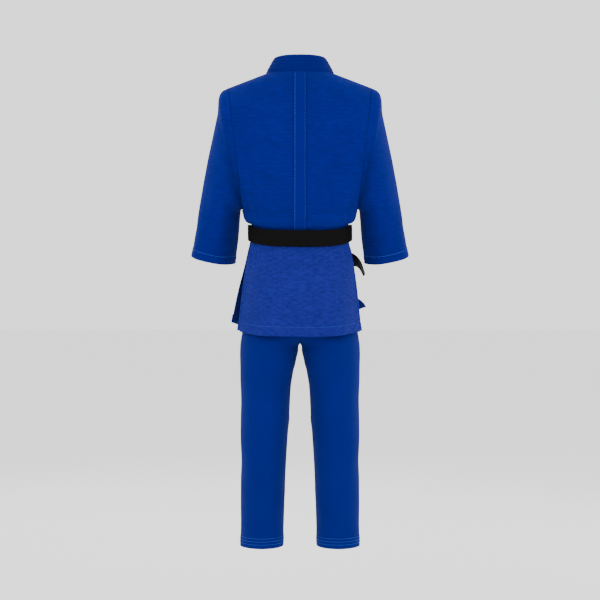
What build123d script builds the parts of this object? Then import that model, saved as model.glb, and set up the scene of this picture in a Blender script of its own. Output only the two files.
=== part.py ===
"""Judo uniform in its worn shape: belted jacket with wide sleeves, quilted skirt, belt and trousers.

Millimetres, +Z up. The wearer faces -Y and the wearer's left is +X.
The origin is the middle of the neck, level with the points where the shoulders meet the collar.
Cloth is made as walls: a wall runs through level sections, each the space between two elliptical arcs.
"""
import os
from math import acos, cos, degrees, radians, sin, sqrt

from build123d import *

# ---- driving dimensions ------------------------------------------------------
GAP = 0.4                # air between cloth layers that lie on each other
LAP = 1.7                # air under a lapel, which spans the panel's slight facets
CUT = 0.5                # air at a seam that stands for a joint
JACKET_CLOTH = 3.0       # pearl weave
SKIRT_CLOTH = 2.0        # quilted weave
TROUSER_CLOTH = 2.0
LINING_CLOTH = 1.6
LAPEL_THICKNESS = 6.0
LAPEL_WIDTH = 51.0       # measured level, across the slanting lapel
BIG = 1000.0             # larger than the uniform's half width and depth

# Armhole: a slanting plane, and the ellipse that the sleeve and the torso share on it
ARMHOLE_TOP = (205.0, -40.0)
ARMHOLE_BOTTOM = (166.0, -392.0)
ARMHOLE_HALF_DEPTH = 86.0

# Torso sections: height, half width (None where the armhole decides it), half depth
TORSO = [
    (0, 98, 64), (-10, 125, 72), (-22, 156, 80), (-32, 182, 86), (-42, None, 90), (-52, None, 94),
    (-70, None, 99), (-110, None, 109),
    (-165, None, 118), (-230, None, 124), (-300, None, 126), (-350, None, 123),
    (-380, None, 120), (-396, 163, 116), (-415, 159, 112), (-434, 139, 100), (-480, 139, 100),
]
YOKE_SECTIONS = slice(2, 10)

# Collar sections, level: height, half width, half depth
COLLAR = [(-6, 94.2, 60.4), (12, 88, 59), (30, 81, 57.5), (44, 75, 56.5), (54, 69, 55.5)]
COLLAR_THICKNESS = 7.0

# Lapels cross in front: the left lapel's middle line runs through these points (x, z)
LAPEL_START = (82.0, 0.0)
LAPEL_WAIST = (-75.0, -447.0)
LAPEL_HEM = (-96.0, -742.0)
LAPEL_SHOULDER_X = 90.0

# Sleeve sections: turn from the upright, length across, half depth, shift forward, tilt forward
SHOULDER_CORNER = (224.0, -48.0)
CUFF_OUTER = (323.0, -520.0)
CUFF_INNER = (195.0, -546.0)
SLEEVE_FAN = [
    (9.6, 86, 0, 0), (15, 87, -3, 2), (25, 88, -9, 4),
    (40, 88, -20, 7), (58, 86, -35, 10), (78.5, 83, -48, 12.5),
]
SLEEVE_LOWER = [(0.5, 77, -71, 12.5), (1.0, 70, -93, 12.5)]
CUFF_FACING_WIDTH = 45.0
CUFF_ACROSS = 131.0
ARMPIT_RADIUS = 9.0

TAPE_WIDTH = 35.0
TAPE_THICKNESS = 1.5

# Belt: heights of its middle line at the front, the sides and the back
BELT_WIDTH = 45.0
BELT_CLOTH = 4.0
BELT_FRONT_Z = -457.0
BELT_SIDE_Z = -460.0
BELT_BACK_Z = -479.0
BELT_HALF_WIDTH = 143.6
BELT_HALF_DEPTH = 111.5
BELT_SHIFT = -10.5

KNOT_WIDTH = 58.0
KNOT_TOP = -439.0
KNOT_BOTTOM = -487.0
KNOT_FRONT = -156.0
HINGE_Z = -490.0         # the belt tails turn here
TAIL_LEFT = [
    ((26, -150, -466), (0.9, 0, 0.44)), ((53, -152, -541), (0.92, 0, 0.38)),
    ((80, -156, -620), (0.95, 0, 0.3)), ((97, -162, -705), (0.97, 0, 0.22)),
]
TAIL_RIGHT = [
    ((-20, -150, -462), (0.6, 0, -0.8)), ((-70, -150, -504), (0.6, 0, -0.8)),
    ((-124, -142, -535), (0.45, 0.25, -0.85)), ((-166, -122, -556), (0.3, 0.75, -0.6)),
    ((-189, -104, -584), (0.1, 0.95, -0.3)),
]

# Skirt sections: height at the sides, extra height at the back, half width, half depth
SKIRT = [(-485.5, -19, 142, 103), (-548, -13, 154, 112), (-655, -12, 167, 125), (-742, -15, 177, 136)]
SLIT_ANGLE = 0.7         # degrees that each panel stops short of the side line

# Seat sections: height, middle, half width, half depth, degrees of arc each side of the outer line
SEAT = [
    (-398, 0, 120, 82, 90), (-470, 0, 126, 88, 90), (-560, 0, 138, 98, 90), (-655, 0, 151, 104, 90),
    (-715, 22, 139, 103, 99.1), (-750, 55, 113, 103, 119.1), (-782, 86.4, 86, 103, 170),
    (-830, 92, 80, 101, 170), (-870, 97, 75.5, 99, 170),
]
LEGS = [
    (-783, 86.9, 86, 103), (-830, 92, 80, 101), (-877, 97.5, 75, 98), (-988, 101.5, 70.5, 90),
    (-1112, 106, 66.5, 82), (-1290, 109.5, 63, 74), (-1335, 110, 62.5, 73.2), (-1365, 110.5, 62, 72.5),
]
HEM_SECTIONS = 2         # the last sections of LEGS, which the hem facing lines
KNEE_SECTIONS = slice(3, 6)
KNEE_ARC = (200.0, 340.0)
LEG_AXIS_Y = -8.5        # over the leg's centre of mass
LEG_AXIS_Z = -889.0
LEG_AXIS_RADIUS = 109.0
WAISTBAND_END = -438.0
WAISTBAND_THICKNESS = 2.0
LOOP_OFFSET = 35.0
LOOP_SIZE = (10.0, 6.5, 26.0)
LOOP_CLOTH = 1.5

# How far each layer of the wrapped front stands off the body: (at the side, at the front)
RIGHT_LAPEL_IN = (LAP, LAP)
RIGHT_LAPEL_OUT = (LAP, LAP + LAPEL_THICKNESS)
LEFT_PANEL_IN = (2 * GAP, 2 * LAP + LAPEL_THICKNESS)
LEFT_LAPEL_IN = (LEFT_PANEL_IN[0] + JACKET_CLOTH + GAP, LEFT_PANEL_IN[1] + JACKET_CLOTH + LAP)
LEFT_LAPEL_OUT = (LEFT_LAPEL_IN[0], LEFT_LAPEL_IN[1] + LAPEL_THICKNESS)


# ---- how cloth is made --------------------------------------------------------
def shifted(offset, amount):
    """A layer offset moved the same amount at the side and in depth."""
    return (offset[0] + amount, offset[1] + amount)


def tilted(height, drop, half_depth):
    """A section plane that is level across and falls by `drop` over half_depth towards the back."""
    return Plane(origin=(0, 0, height), x_dir=(1, 0, 0), z_dir=(0, -drop, half_depth))


def arc_end(width, limit, otherwise):
    """The ellipse's angle where it reaches x = limit."""
    if limit is None:
        return otherwise
    return degrees(acos(max(-1.0, min(1.0, limit / width))))


def ellipse_arc(middle, radii, arc):
    """An elliptical arc between two angles."""
    return EllipticalCenterArc((middle, 0), *radii, start_angle=arc[0], arc_size=arc[1] - arc[0])


def wall(stations):
    """A solid through sections, listed the way their planes face.

    Each is (plane, middle, outer radii, inner radii, outer arc, inner arc).
    """
    with BuildPart() as solid:
        for plane, middle, outer, inner, outer_arc, inner_arc in stations:
            with BuildSketch(plane):
                with BuildLine():
                    far = ellipse_arc(middle, outer, outer_arc)
                    near = ellipse_arc(middle, inner, inner_arc)
                    Line(far @ 0, near @ 0)
                    Line(far @ 1, near @ 1)
                make_face()
        loft(ruled=True)
    return solid.part


def tube(stations):
    """A hollow solid through closed sections, listed the way their planes face.

    Each is (plane, middle, outer radii, inner radii).
    """
    with BuildPart() as solid:
        for plane, middle, outer, _ in stations:
            with BuildSketch(plane):
                with Locations((middle, 0)):
                    Ellipse(*outer)
        loft(ruled=True)
        for plane, middle, _, inner in stations:
            with BuildSketch(plane):
                with Locations((middle, 0)):
                    Ellipse(*inner)
        loft(ruled=True, mode=Mode.SUBTRACT)
    return solid.part


def mirrored(part):
    """The same solid on the wearer's other side."""
    return mirror(part, about=Plane.YZ, mode=Mode.PRIVATE)


# ---- the torso's sections ------------------------------------------------------
def between(start, end, height):
    """x at a height on the straight line from start to end, both (x, z)."""
    return start[0] + (end[0] - start[0]) * (height - start[1]) / (end[1] - start[1])


def armhole_x(height):
    """The armhole plane's x at a height, or None below the armpit and on the shoulder."""
    if ARMHOLE_BOTTOM[1] < height < ARMHOLE_TOP[1]:
        return between(ARMHOLE_TOP, ARMHOLE_BOTTOM, height)
    return None


def torso_radii(height, half_width, half_depth):
    """The torso's half width, widened so that its skin meets the sleeve's ellipse at the armhole."""
    if half_width is not None:
        return half_width, half_depth
    middle = (ARMHOLE_TOP[1] + ARMHOLE_BOTTOM[1]) / 2
    reach = (ARMHOLE_TOP[1] - ARMHOLE_BOTTOM[1]) / 2
    depth = ARMHOLE_HALF_DEPTH * sqrt(1 - ((height - middle) / reach) ** 2)
    return armhole_x(height) / sqrt(1 - (depth / half_depth) ** 2), half_depth


def torso_stations(outer, inner, start_x=None, end_x=None, front=False, sections=TORSO):
    """Torso sections from x = start_x(height), at the wearer's left, to x = end_x(height)."""
    stations = []
    for height, half_width, half_depth in reversed(sections):
        radii = torso_radii(height, half_width, half_depth)
        arcs = []
        grown = []
        for grow in (outer, inner):
            width, depth = radii[0] + grow[0], radii[1] + grow[1]
            start = arc_end(width, start_x(height) if start_x else armhole_x(height), 0)
            end = arc_end(width, end_x(height), 180)
            if front:
                start, end = -start, -end
            grown.append((width, depth))
            arcs.append((start, end))
        stations.append((Plane.XY.offset(height), 0, grown[0], grown[1], arcs[0], arcs[1]))
    return stations


def lapel_middle(height):
    """x of the left lapel's middle line at a height."""
    if height < LAPEL_WAIST[1]:
        return between(LAPEL_WAIST, LAPEL_HEM, height)
    return between(LAPEL_START, LAPEL_WAIST, height)


def lapel_inner(height):
    """x of the left lapel's free edge at a height."""
    return lapel_middle(height) - LAPEL_WIDTH / 2


def lapel_outer(height):
    """x of the left lapel's sewn edge at a height. On the shoulder it stops beside the collar."""
    return min(lapel_middle(height) + LAPEL_WIDTH / 2, LAPEL_SHOULDER_X)


# ---- jacket above the belt -----------------------------------------------------
FLUSH = (0.0, 0.0)
BODY_IN = (-JACKET_CLOTH, -JACKET_CLOTH)

with BuildPart() as back_panel_left:
    add(wall(torso_stations(FLUSH, BODY_IN, end_x=lambda height: 0)))

with BuildPart() as back_panel_right:
    add(mirrored(back_panel_left.part))

TAPE_END = -452.0
tape_sections = TORSO[:-1] + [(TAPE_END, TORSO[-1][1], TORSO[-1][2])]
with BuildPart() as centre_back_tape:
    add(wall(torso_stations(
        (GAP + TAPE_THICKNESS, GAP + TAPE_THICKNESS), (GAP, GAP),
        start_x=lambda height: TAPE_WIDTH / 2, end_x=lambda height: -TAPE_WIDTH / 2,
        sections=tape_sections,
    )))

with BuildPart() as front_panel_left:
    add(wall(torso_stations(
        shifted(LEFT_PANEL_IN, JACKET_CLOTH), LEFT_PANEL_IN, end_x=lapel_inner, front=True,
    )))

with BuildPart() as front_panel_right:
    add(mirrored(wall(torso_stations(FLUSH, BODY_IN, end_x=lapel_inner, front=True))))

with BuildPart() as lapel_left:
    add(wall(torso_stations(
        LEFT_LAPEL_OUT, LEFT_LAPEL_IN, start_x=lapel_outer, end_x=lapel_inner, front=True,
    )))

with BuildPart() as lapel_right:
    add(mirrored(wall(torso_stations(
        RIGHT_LAPEL_OUT, RIGHT_LAPEL_IN, start_x=lapel_outer, end_x=lapel_inner, front=True,
    ))))

collar_stations = []
for height, half_width, half_depth in COLLAR:
    inner = (half_width - COLLAR_THICKNESS, half_depth - COLLAR_THICKNESS)
    front_end = arc_end(half_width, min(lapel_inner(height), half_width), 0)
    arc = (-front_end, 180 + front_end)
    collar_stations.append((Plane.XY.offset(height), 0, (half_width, half_depth), inner, arc, arc))
with BuildPart() as neck_band:
    add(wall(collar_stations))

LINING_OUT = shifted(BODY_IN, -LAP)
LINING_IN = shifted(LINING_OUT, -LINING_CLOTH)
YOKE_EDGE = 145.0
with BuildPart() as yoke_lining:
    add(wall(torso_stations(
        LINING_OUT, LINING_IN,
        start_x=lambda height: YOKE_EDGE, end_x=lambda height: -YOKE_EDGE,
        sections=TORSO[YOKE_SECTIONS],
    )))

WAIST_TAPE_TOP = -440.0
WAIST_TAPE_END = -460.0
waist_tape_sections = [(height, TORSO[-1][1], TORSO[-1][2]) for height in (WAIST_TAPE_TOP, WAIST_TAPE_END)]
with BuildPart() as waist_tape:
    add(wall(torso_stations(LINING_OUT, LINING_IN, end_x=lambda height: -BIG, sections=waist_tape_sections)))


# ---- sleeves --------------------------------------------------------------------
def sleeve_station(base, turn, length, half_depth, shift, tilt, outer, inner):
    """A sleeve section that starts at base (x, z) and reaches `length` away, turned from the upright."""
    across = Vector(sin(radians(turn)), 0, cos(radians(turn)))
    deep = Vector(0, cos(radians(tilt)), -sin(radians(tilt)))
    middle = Vector(base[0], shift, base[1]) + across * (length / 2)
    plane = Plane(origin=middle, x_dir=across, z_dir=deep.cross(across))
    half_length = length / 2
    return plane, 0, (half_length + outer, half_depth + outer), (half_length + inner, half_depth + inner)


def sleeve_stations(outer, inner):
    """The left sleeve's sections: fanned round the armpit, then square to the arm down to the cuff."""
    rise = ARMHOLE_TOP[1] - ARMHOLE_BOTTOM[1]
    run = ARMHOLE_TOP[0] - ARMHOLE_BOTTOM[0]
    length = sqrt(rise ** 2 + run ** 2)
    turn = degrees(acos(rise / length))
    base = (ARMHOLE_BOTTOM[0] + CUT, ARMHOLE_BOTTOM[1])
    pivot = (base[0] - ARMPIT_RADIUS * sin(radians(turn)), base[1] - ARMPIT_RADIUS * cos(radians(turn)))
    stations = [sleeve_station(base, turn, length, ARMHOLE_HALF_DEPTH, 0, 0, outer, inner)]
    lean = (CUFF_OUTER[0] - SHOULDER_CORNER[0]) / (SHOULDER_CORNER[1] - CUFF_OUTER[1])
    for turn, half_depth, shift, tilt in SLEEVE_FAN:
        room = SHOULDER_CORNER[0] - pivot[0] + lean * (SHOULDER_CORNER[1] - pivot[1])
        length = room / (sin(radians(turn)) + lean * cos(radians(turn))) - ARMPIT_RADIUS
        base = (pivot[0] + ARMPIT_RADIUS * sin(radians(turn)), pivot[1] + ARMPIT_RADIUS * cos(radians(turn)))
        stations.append(sleeve_station(base, turn, length, half_depth, shift, tilt, outer, inner))
    for share, half_depth, shift, tilt in SLEEVE_LOWER:
        foot = (base[0] + (CUFF_INNER[0] - base[0]) * share, base[1] + (CUFF_INNER[1] - base[1]) * share)
        reach = length + (CUFF_ACROSS - length) * share
        stations.append(sleeve_station(foot, turn, reach, half_depth, shift, tilt, outer, inner))
    return stations


with BuildPart() as left_sleeve:
    add(tube(sleeve_stations(0, -JACKET_CLOTH)))

with BuildPart() as right_sleeve:
    add(mirrored(left_sleeve.part))

facing = sleeve_stations(-JACKET_CLOTH - GAP, -JACKET_CLOTH - GAP - LINING_CLOTH)
cuff_plane = facing[-1][0]
with BuildPart() as left_cuff_facing:
    add(tube(facing[-2:]))
    split(bisect_by=cuff_plane.offset(-CUFF_FACING_WIDTH), keep=Keep.TOP)

with BuildPart() as right_cuff_facing:
    add(mirrored(left_cuff_facing.part))


# ---- belt --------------------------------------------------------------------------
def belt_ring(offset):
    """One turn of the belt, its inner face `offset` off the cloth."""
    reach = BELT_HALF_DEPTH * 1.5
    fall = (BELT_BACK_Z - BELT_SIDE_Z) / (BELT_HALF_DEPTH + BELT_SHIFT) * reach
    middle = [(-reach, BELT_FRONT_Z), (0, BELT_SIDE_Z), (reach, BELT_SIDE_Z + fall)]
    with BuildPart() as band:
        with BuildSketch(Plane.YZ):
            with BuildLine():
                Polyline(
                    *[(y, z + BELT_WIDTH / 2) for y, z in middle],
                    *[(y, z - BELT_WIDTH / 2) for y, z in reversed(middle)],
                    close=True,
                )
            make_face()
        extrude(amount=BIG, both=True)
    with BuildPart() as ring:
        with BuildSketch(Plane.XY.offset(BELT_SIDE_Z - 2 * BELT_WIDTH)):
            with Locations((0, BELT_SHIFT)):
                Ellipse(BELT_HALF_WIDTH + offset + BELT_CLOTH, BELT_HALF_DEPTH + offset + BELT_CLOTH)
                Ellipse(BELT_HALF_WIDTH + offset, BELT_HALF_DEPTH + offset, mode=Mode.SUBTRACT)
        extrude(amount=4 * BELT_WIDTH)
        add(band.part, mode=Mode.INTERSECT)
    return ring.part


with BuildPart() as belt_inner_wrap:
    add(belt_ring(0))

with BuildPart() as belt_outer_wrap:
    add(belt_ring(BELT_CLOTH + GAP))

belt_face = BELT_SHIFT - BELT_HALF_DEPTH - 2 * BELT_CLOTH - 2 * GAP
with BuildPart() as belt_knot:
    with BuildSketch(Plane.XZ.offset(-belt_face)):
        with Locations((0, (KNOT_TOP + KNOT_BOTTOM) / 2)):
            RectangleRounded(KNOT_WIDTH, KNOT_TOP - KNOT_BOTTOM, 9)
    extrude(amount=belt_face - KNOT_FRONT)
    fillet(belt_knot.faces().sort_by(Axis.Y)[0].edges(), 7)


def belt_tail(stations):
    """A strap through (middle, direction of its width), cut level under the knot."""
    with BuildPart() as strap:
        for number, (middle, across) in enumerate(stations):
            ahead = Vector(*stations[min(number + 1, len(stations) - 1)][0])
            behind = Vector(*stations[max(number - 1, 0)][0])
            with BuildSketch(Plane(origin=middle, x_dir=across, z_dir=ahead - behind)):
                Rectangle(BELT_WIDTH, BELT_CLOTH)
        loft(ruled=True)
        split(bisect_by=Plane.XY.offset(HINGE_Z - CUT), keep=Keep.BOTTOM)
    return strap.part


with BuildPart() as belt_tail_left:
    add(belt_tail(TAIL_LEFT))

with BuildPart() as belt_tail_right:
    add(belt_tail(TAIL_RIGHT))


# ---- skirt ---------------------------------------------------------------------------
def skirt_stations(outer, inner, start_x=None, end_x=None, back=False):
    """Skirt sections from the wearer's left side, or start_x(height), to the right side or end_x."""
    stations = []
    for height, drop, half_width, half_depth in reversed(SKIRT):
        plane = tilted(height, drop, half_depth) if back else Plane.XY.offset(height)
        grown = []
        arcs = []
        for grow in (outer, inner):
            width, depth = half_width + grow[0], half_depth + grow[1]
            start = arc_end(width, start_x(height) if start_x else None, SLIT_ANGLE)
            end = arc_end(width, end_x(height) if end_x else None, 180 - SLIT_ANGLE)
            grown.append((width, depth))
            arcs.append((start, end) if back else (-start, -end))
        stations.append((plane, 0, grown[0], grown[1], arcs[0], arcs[1]))
    return stations


with BuildPart() as skirt_back:
    add(wall(skirt_stations(FLUSH, shifted(FLUSH, -SKIRT_CLOTH), back=True)))

with BuildPart() as skirt_front_right:
    add(mirrored(wall(skirt_stations(FLUSH, shifted(FLUSH, -SKIRT_CLOTH), end_x=lapel_inner))))

with BuildPart() as skirt_lapel_right:
    add(mirrored(wall(skirt_stations(RIGHT_LAPEL_OUT, RIGHT_LAPEL_IN, lapel_outer, lapel_inner))))

with BuildPart() as skirt_front_left:
    add(wall(skirt_stations(shifted(LEFT_PANEL_IN, SKIRT_CLOTH), LEFT_PANEL_IN, end_x=lapel_inner)))

with BuildPart() as skirt_lapel_left:
    add(wall(skirt_stations(LEFT_LAPEL_OUT, LEFT_LAPEL_IN, lapel_outer, lapel_inner)))

# ---- trousers ---------------------------------------------------------------------------
seat_stations = [
    (
        Plane.XY.offset(height), middle,
        (half_width, half_depth), (half_width - TROUSER_CLOTH, half_depth - TROUSER_CLOTH),
        (-arc, arc), (-arc, arc),
    )
    for height, middle, half_width, half_depth, arc in reversed(SEAT)
]
with BuildPart() as seat_left:
    add(wall(seat_stations))
    with Locations((0, LEG_AXIS_Y, LEG_AXIS_Z)):
        Cylinder(LEG_AXIS_RADIUS, BIG, rotation=(0, 90, 0), mode=Mode.SUBTRACT)

with BuildPart() as seat_right:
    add(mirrored(seat_left.part))


def leg_stations(outer, inner, sections=LEGS):
    """The left leg's level sections."""
    return [
        (
            Plane.XY.offset(height), middle,
            (half_width + outer, half_depth + outer), (half_width + inner, half_depth + inner),
        )
        for height, middle, half_width, half_depth in reversed(sections)
    ]


with BuildPart() as leg_swing:
    with BuildSketch(Plane.YZ):
        with Locations((LEG_AXIS_Y, LEG_AXIS_Z)):
            Circle(LEG_AXIS_RADIUS - CUT)
        with Locations((0, LEG_AXIS_Z - BIG / 2)):
            Rectangle(BIG, BIG)
    extrude(amount=BIG, both=True)

with BuildPart() as left_leg:
    add(tube(leg_stations(0, -TROUSER_CLOTH)))
    add(leg_swing.part, mode=Mode.INTERSECT)

with BuildPart() as right_leg:
    add(mirrored(left_leg.part))

with BuildPart() as left_knee_patch:
    add(wall([
        (*station, KNEE_ARC, KNEE_ARC)
        for station in leg_stations(GAP + LINING_CLOTH, GAP, LEGS[KNEE_SECTIONS])
    ]))

with BuildPart() as right_knee_patch:
    add(mirrored(left_knee_patch.part))

hem_out = -TROUSER_CLOTH - GAP
with BuildPart() as left_leg_hem:
    add(tube(leg_stations(hem_out, hem_out - LINING_CLOTH, LEGS[-HEM_SECTIONS:])))

with BuildPart() as right_leg_hem:
    add(mirrored(left_leg_hem.part))

band_flare = 4.0         # more than the seat widens over the waistband's height
band_radii = [
    (WAISTBAND_END, SEAT[0][2] + band_flare + GAP, SEAT[0][3] + band_flare + GAP),
    (SEAT[0][0], SEAT[0][2] + GAP, SEAT[0][3] + GAP),
]
with BuildPart() as waistband:
    add(tube([
        (
            Plane.XY.offset(height), 0,
            (half_width + WAISTBAND_THICKNESS, half_depth + WAISTBAND_THICKNESS), (half_width, half_depth),
        )
        for height, half_width, half_depth in band_radii
    ]))

loop_height = (SEAT[0][0] + WAISTBAND_END) / 2
loop_back = -SEAT[0][3] - WAISTBAND_THICKNESS - band_flare / 2
loop_hole = (LOOP_SIZE[0], LOOP_SIZE[1] - LOOP_CLOTH, LOOP_SIZE[2] - 2 * LOOP_CLOTH)
LOOP_ALIGN = (Align.CENTER, Align.MAX, Align.CENTER)
with BuildPart() as drawcord_loops:
    with Locations((-LOOP_OFFSET, loop_back, loop_height), (LOOP_OFFSET, loop_back, loop_height)):
        Box(*LOOP_SIZE, align=LOOP_ALIGN)
        Box(*loop_hole, align=LOOP_ALIGN, mode=Mode.SUBTRACT)

# ---- files ----------------------------------------------------------------------------------
os.makedirs("parts", exist_ok=True)
pieces = {
    "back_panel_left": back_panel_left, "back_panel_right": back_panel_right,
    "centre_back_tape": centre_back_tape, "front_panel_left": front_panel_left,
    "front_panel_right": front_panel_right, "lapel_left": lapel_left, "lapel_right": lapel_right,
    "neck_band": neck_band, "yoke_lining": yoke_lining, "waist_tape": waist_tape,
    "left_sleeve": left_sleeve, "right_sleeve": right_sleeve,
    "left_cuff_facing": left_cuff_facing, "right_cuff_facing": right_cuff_facing,
    "belt_inner_wrap": belt_inner_wrap, "belt_outer_wrap": belt_outer_wrap, "belt_knot": belt_knot,
    "belt_tail_left": belt_tail_left, "belt_tail_right": belt_tail_right,
    "skirt_back": skirt_back, "skirt_front_right": skirt_front_right,
    "skirt_lapel_right": skirt_lapel_right, "skirt_front_left": skirt_front_left,
    "skirt_lapel_left": skirt_lapel_left,
    "waistband": waistband, "drawcord_loops": drawcord_loops,
    "seat_left": seat_left, "seat_right": seat_right,
    "left_leg": left_leg, "right_leg": right_leg,
    "left_knee_patch": left_knee_patch, "right_knee_patch": right_knee_patch,
    "left_leg_hem": left_leg_hem, "right_leg_hem": right_leg_hem,
}
for name, piece in pieces.items():
    piece.part.label = name
    export_step(piece.part, f"parts/{name}.step")
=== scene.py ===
"""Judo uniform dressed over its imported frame: woven jacket, quilted skirt, black belt and trousers.

Metres, +Z up. The wearer faces -Y and the wearer's left is +X.
Sections are named in millimetres, as a cutter names them, and scaled as each mesh is made.
"""
from math import atan, cos, pi, radians, sin, sqrt

import bpy
import numpy as np
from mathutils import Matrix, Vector


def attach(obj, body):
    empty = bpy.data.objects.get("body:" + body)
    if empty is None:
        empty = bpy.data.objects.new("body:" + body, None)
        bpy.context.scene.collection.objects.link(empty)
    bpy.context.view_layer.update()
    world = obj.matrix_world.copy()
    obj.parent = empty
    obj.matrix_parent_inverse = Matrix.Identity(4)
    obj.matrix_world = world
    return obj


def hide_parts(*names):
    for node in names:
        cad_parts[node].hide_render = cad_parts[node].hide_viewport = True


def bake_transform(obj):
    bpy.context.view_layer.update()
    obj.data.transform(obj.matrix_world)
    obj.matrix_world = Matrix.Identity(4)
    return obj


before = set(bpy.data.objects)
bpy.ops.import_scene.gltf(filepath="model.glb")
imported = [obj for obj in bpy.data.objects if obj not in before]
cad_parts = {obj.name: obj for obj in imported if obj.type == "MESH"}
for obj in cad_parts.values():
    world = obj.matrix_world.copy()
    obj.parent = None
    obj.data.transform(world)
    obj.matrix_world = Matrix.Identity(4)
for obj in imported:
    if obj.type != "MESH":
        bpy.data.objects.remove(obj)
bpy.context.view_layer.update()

MM = 0.001

# ---- sizes, in millimetres ------------------------------------------------------
JACKET_CLOTH = 3.0
SKIRT_CLOTH = 2.0
TROUSER_CLOTH = 1.8
LINING_CLOTH = 1.4
BAND_THICKNESS = 6.0
LAYER_GAP = 1.0

# Torso: height, half width above the armhole, half depth
SHOULDER_Z = -40.0
ARMPIT_Z = -392.0
SHOULDER_WIDTHS = [(0, 98), (-10, 125), (-22, 156), (-32, 182), (-40, 205)]
WAIST_WIDTHS = [(-392, 166), (-402, 163), (-415, 159.5), (-425, 153), (-434, 142), (-440, 138), (-480, 138)]
TORSO_DEPTHS = [
    (0, 64), (-10, 72), (-22, 80), (-32, 86), (-42, 90), (-52, 94), (-70, 99), (-110, 109),
    (-165, 118), (-230, 124), (-300, 126), (-350, 123), (-380, 120), (-400, 117), (-414, 112),
    (-425, 106), (-434, 100), (-440, 98.5), (-480, 98.5),
]
TORSO_END = -472.0
ARMHOLE_X = (205.0, 166.0)
ARMHOLE_HALF_DEPTH = 86.0
BLOUSE_START = -300.0
BLOUSE_END = -400.0

# Front edges: the left lapel's middle line, (x, z)
LAPEL_START = (82.0, 0.0)
LAPEL_WAIST = (-75.0, -447.0)
LAPEL_HEM = (-96.0, -742.0)
LAPEL_WIDTH = 51.0
RIGHT_LAPEL_OFFSET = (1.7, 1.7)
LEFT_FRONT_OFFSET = (0.8, 9.4)
LEFT_LAPEL_OFFSET = (4.2, 14.1)
LAYERS_START = -20.0     # above this height the fronts lie flush on the shoulder
LAYERS_END = -150.0
LAYER_CLEAR_ANGLE = 0.35     # radians from the armhole within which it rises off the inner front

# Collar band from the middle of the back to the shoulder: (free edge), (sewn edge)
COLLAR_STATIONS = [
    ((0, 54.5, 48.5), (0, 60.6, -7)), ((27, 50, 48.5), (37, 55.5, -7)),
    ((50, 37, 48), (67, 42.5, -6)), ((64, 19, 47), (86, 22, -4)),
    ((69, 0, 44), (95, 0, -3)), ((69.5, -16, 37), (95.5, -20, -4)),
    ((67.5, -31, 29), (95, -44, -10)), ((63, -43, 14), (94, -62, -23)),
]
BAND_ROWS = 5            # lines of stitching along the collar band
SKIRT_BAND_CLOTH = 4.0
SKIRT_BAND_LIFT = 4.5

# Sleeve sections: turn from upright, half depth, shift forward, tilt forward
SHOULDER_CORNER = (224.0, -48.0)
CUFF_OUTER = (323.0, -520.0)
CUFF_INNER = (195.0, -546.0)
SLEEVE_FAN = [
    (9.6, 86, 0, 0), (15, 87, -3, 2), (25, 88, -9, 4), (40, 88, -20, 7), (58, 86, -35, 10),
    (78.5, 83, -48, 12.5),
]
# The same below the fan, each beginning with its share of the way to the cuff
SLEEVE_LOWER = [
    (0.25, 80.5, -59, 12.5), (0.5, 77, -71, 12.5), (0.75, 73.5, -82, 12.5), (1.0, 70, -93, 12.5),
]
CUFF_ACROSS = 131.0
ARMPIT_RADIUS = 9.0
SLEEVE_BEND = (2.0, 44.0)     # two distances off the armhole; the points made from them are not used
CUFF_HEM = 24.0
CUFF_FACING = 45.0

TAPE_WIDTH = 35.0
TAPE_SEAM = 0.82         # where its stitch rows run, as a share of its half width
TAPE_CLOTH = 2.6
TAPE_LIFT = 2.2
TAPE_COLUMNS = 43
TAPE_STITCH_WIDTHS = (2.0, 1.2)

YOKE_HALF_WIDTH = 145.0
YOKE_HEIGHTS = (-14.0, -228.0)
WAIST_TAPE_HEIGHTS = (-440.0, -460.0)

# Stitches
STITCH_SPACING = 4.2
STITCH_LENGTH = 3.6
STITCH_WIDTH = 1.9
STITCH_HEIGHT = 0.9
FINE_STITCH_WIDTH = 1.3
STITCH_LIFT = 0.5        # how far a row stands off its cloth
TROUSER_STITCH_LIFT = 0.4

# Belt
BELT_WIDTH = 45.0
BELT_CLOTH = 4.0
BELT_FRONT_Z = -457.0
BELT_SIDE_Z = -460.0
BELT_BACK_Z = -479.0
BELT_HALF_WIDTH = 143.6
BELT_HALF_DEPTH = 111.5
BELT_SHIFT = -10.5
BELT_ROWS = 9

# Skirt: height at the sides, extra height at the back, half width, half depth
SKIRT = [
    (-468, -19, 139.5, 99.5), (-486, -19, 142, 102.5), (-515, -16, 148, 107), (-548, -13, 154, 112),
    (-600, -12, 161, 118.5), (-655, -12, 167, 125), (-700, -13, 172, 130.5), (-742, -15, 177, 136),
]
SKIRT_HEM = 25.0
SKIRT_HEM_ROW = 0.905    # where the hem is stitched, as a share of the way down
SKIRT_SEED = 53

TROUSER_TOP = -398.0
TROUSER_END = -1365.0
SEAT_END = -655.0

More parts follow.
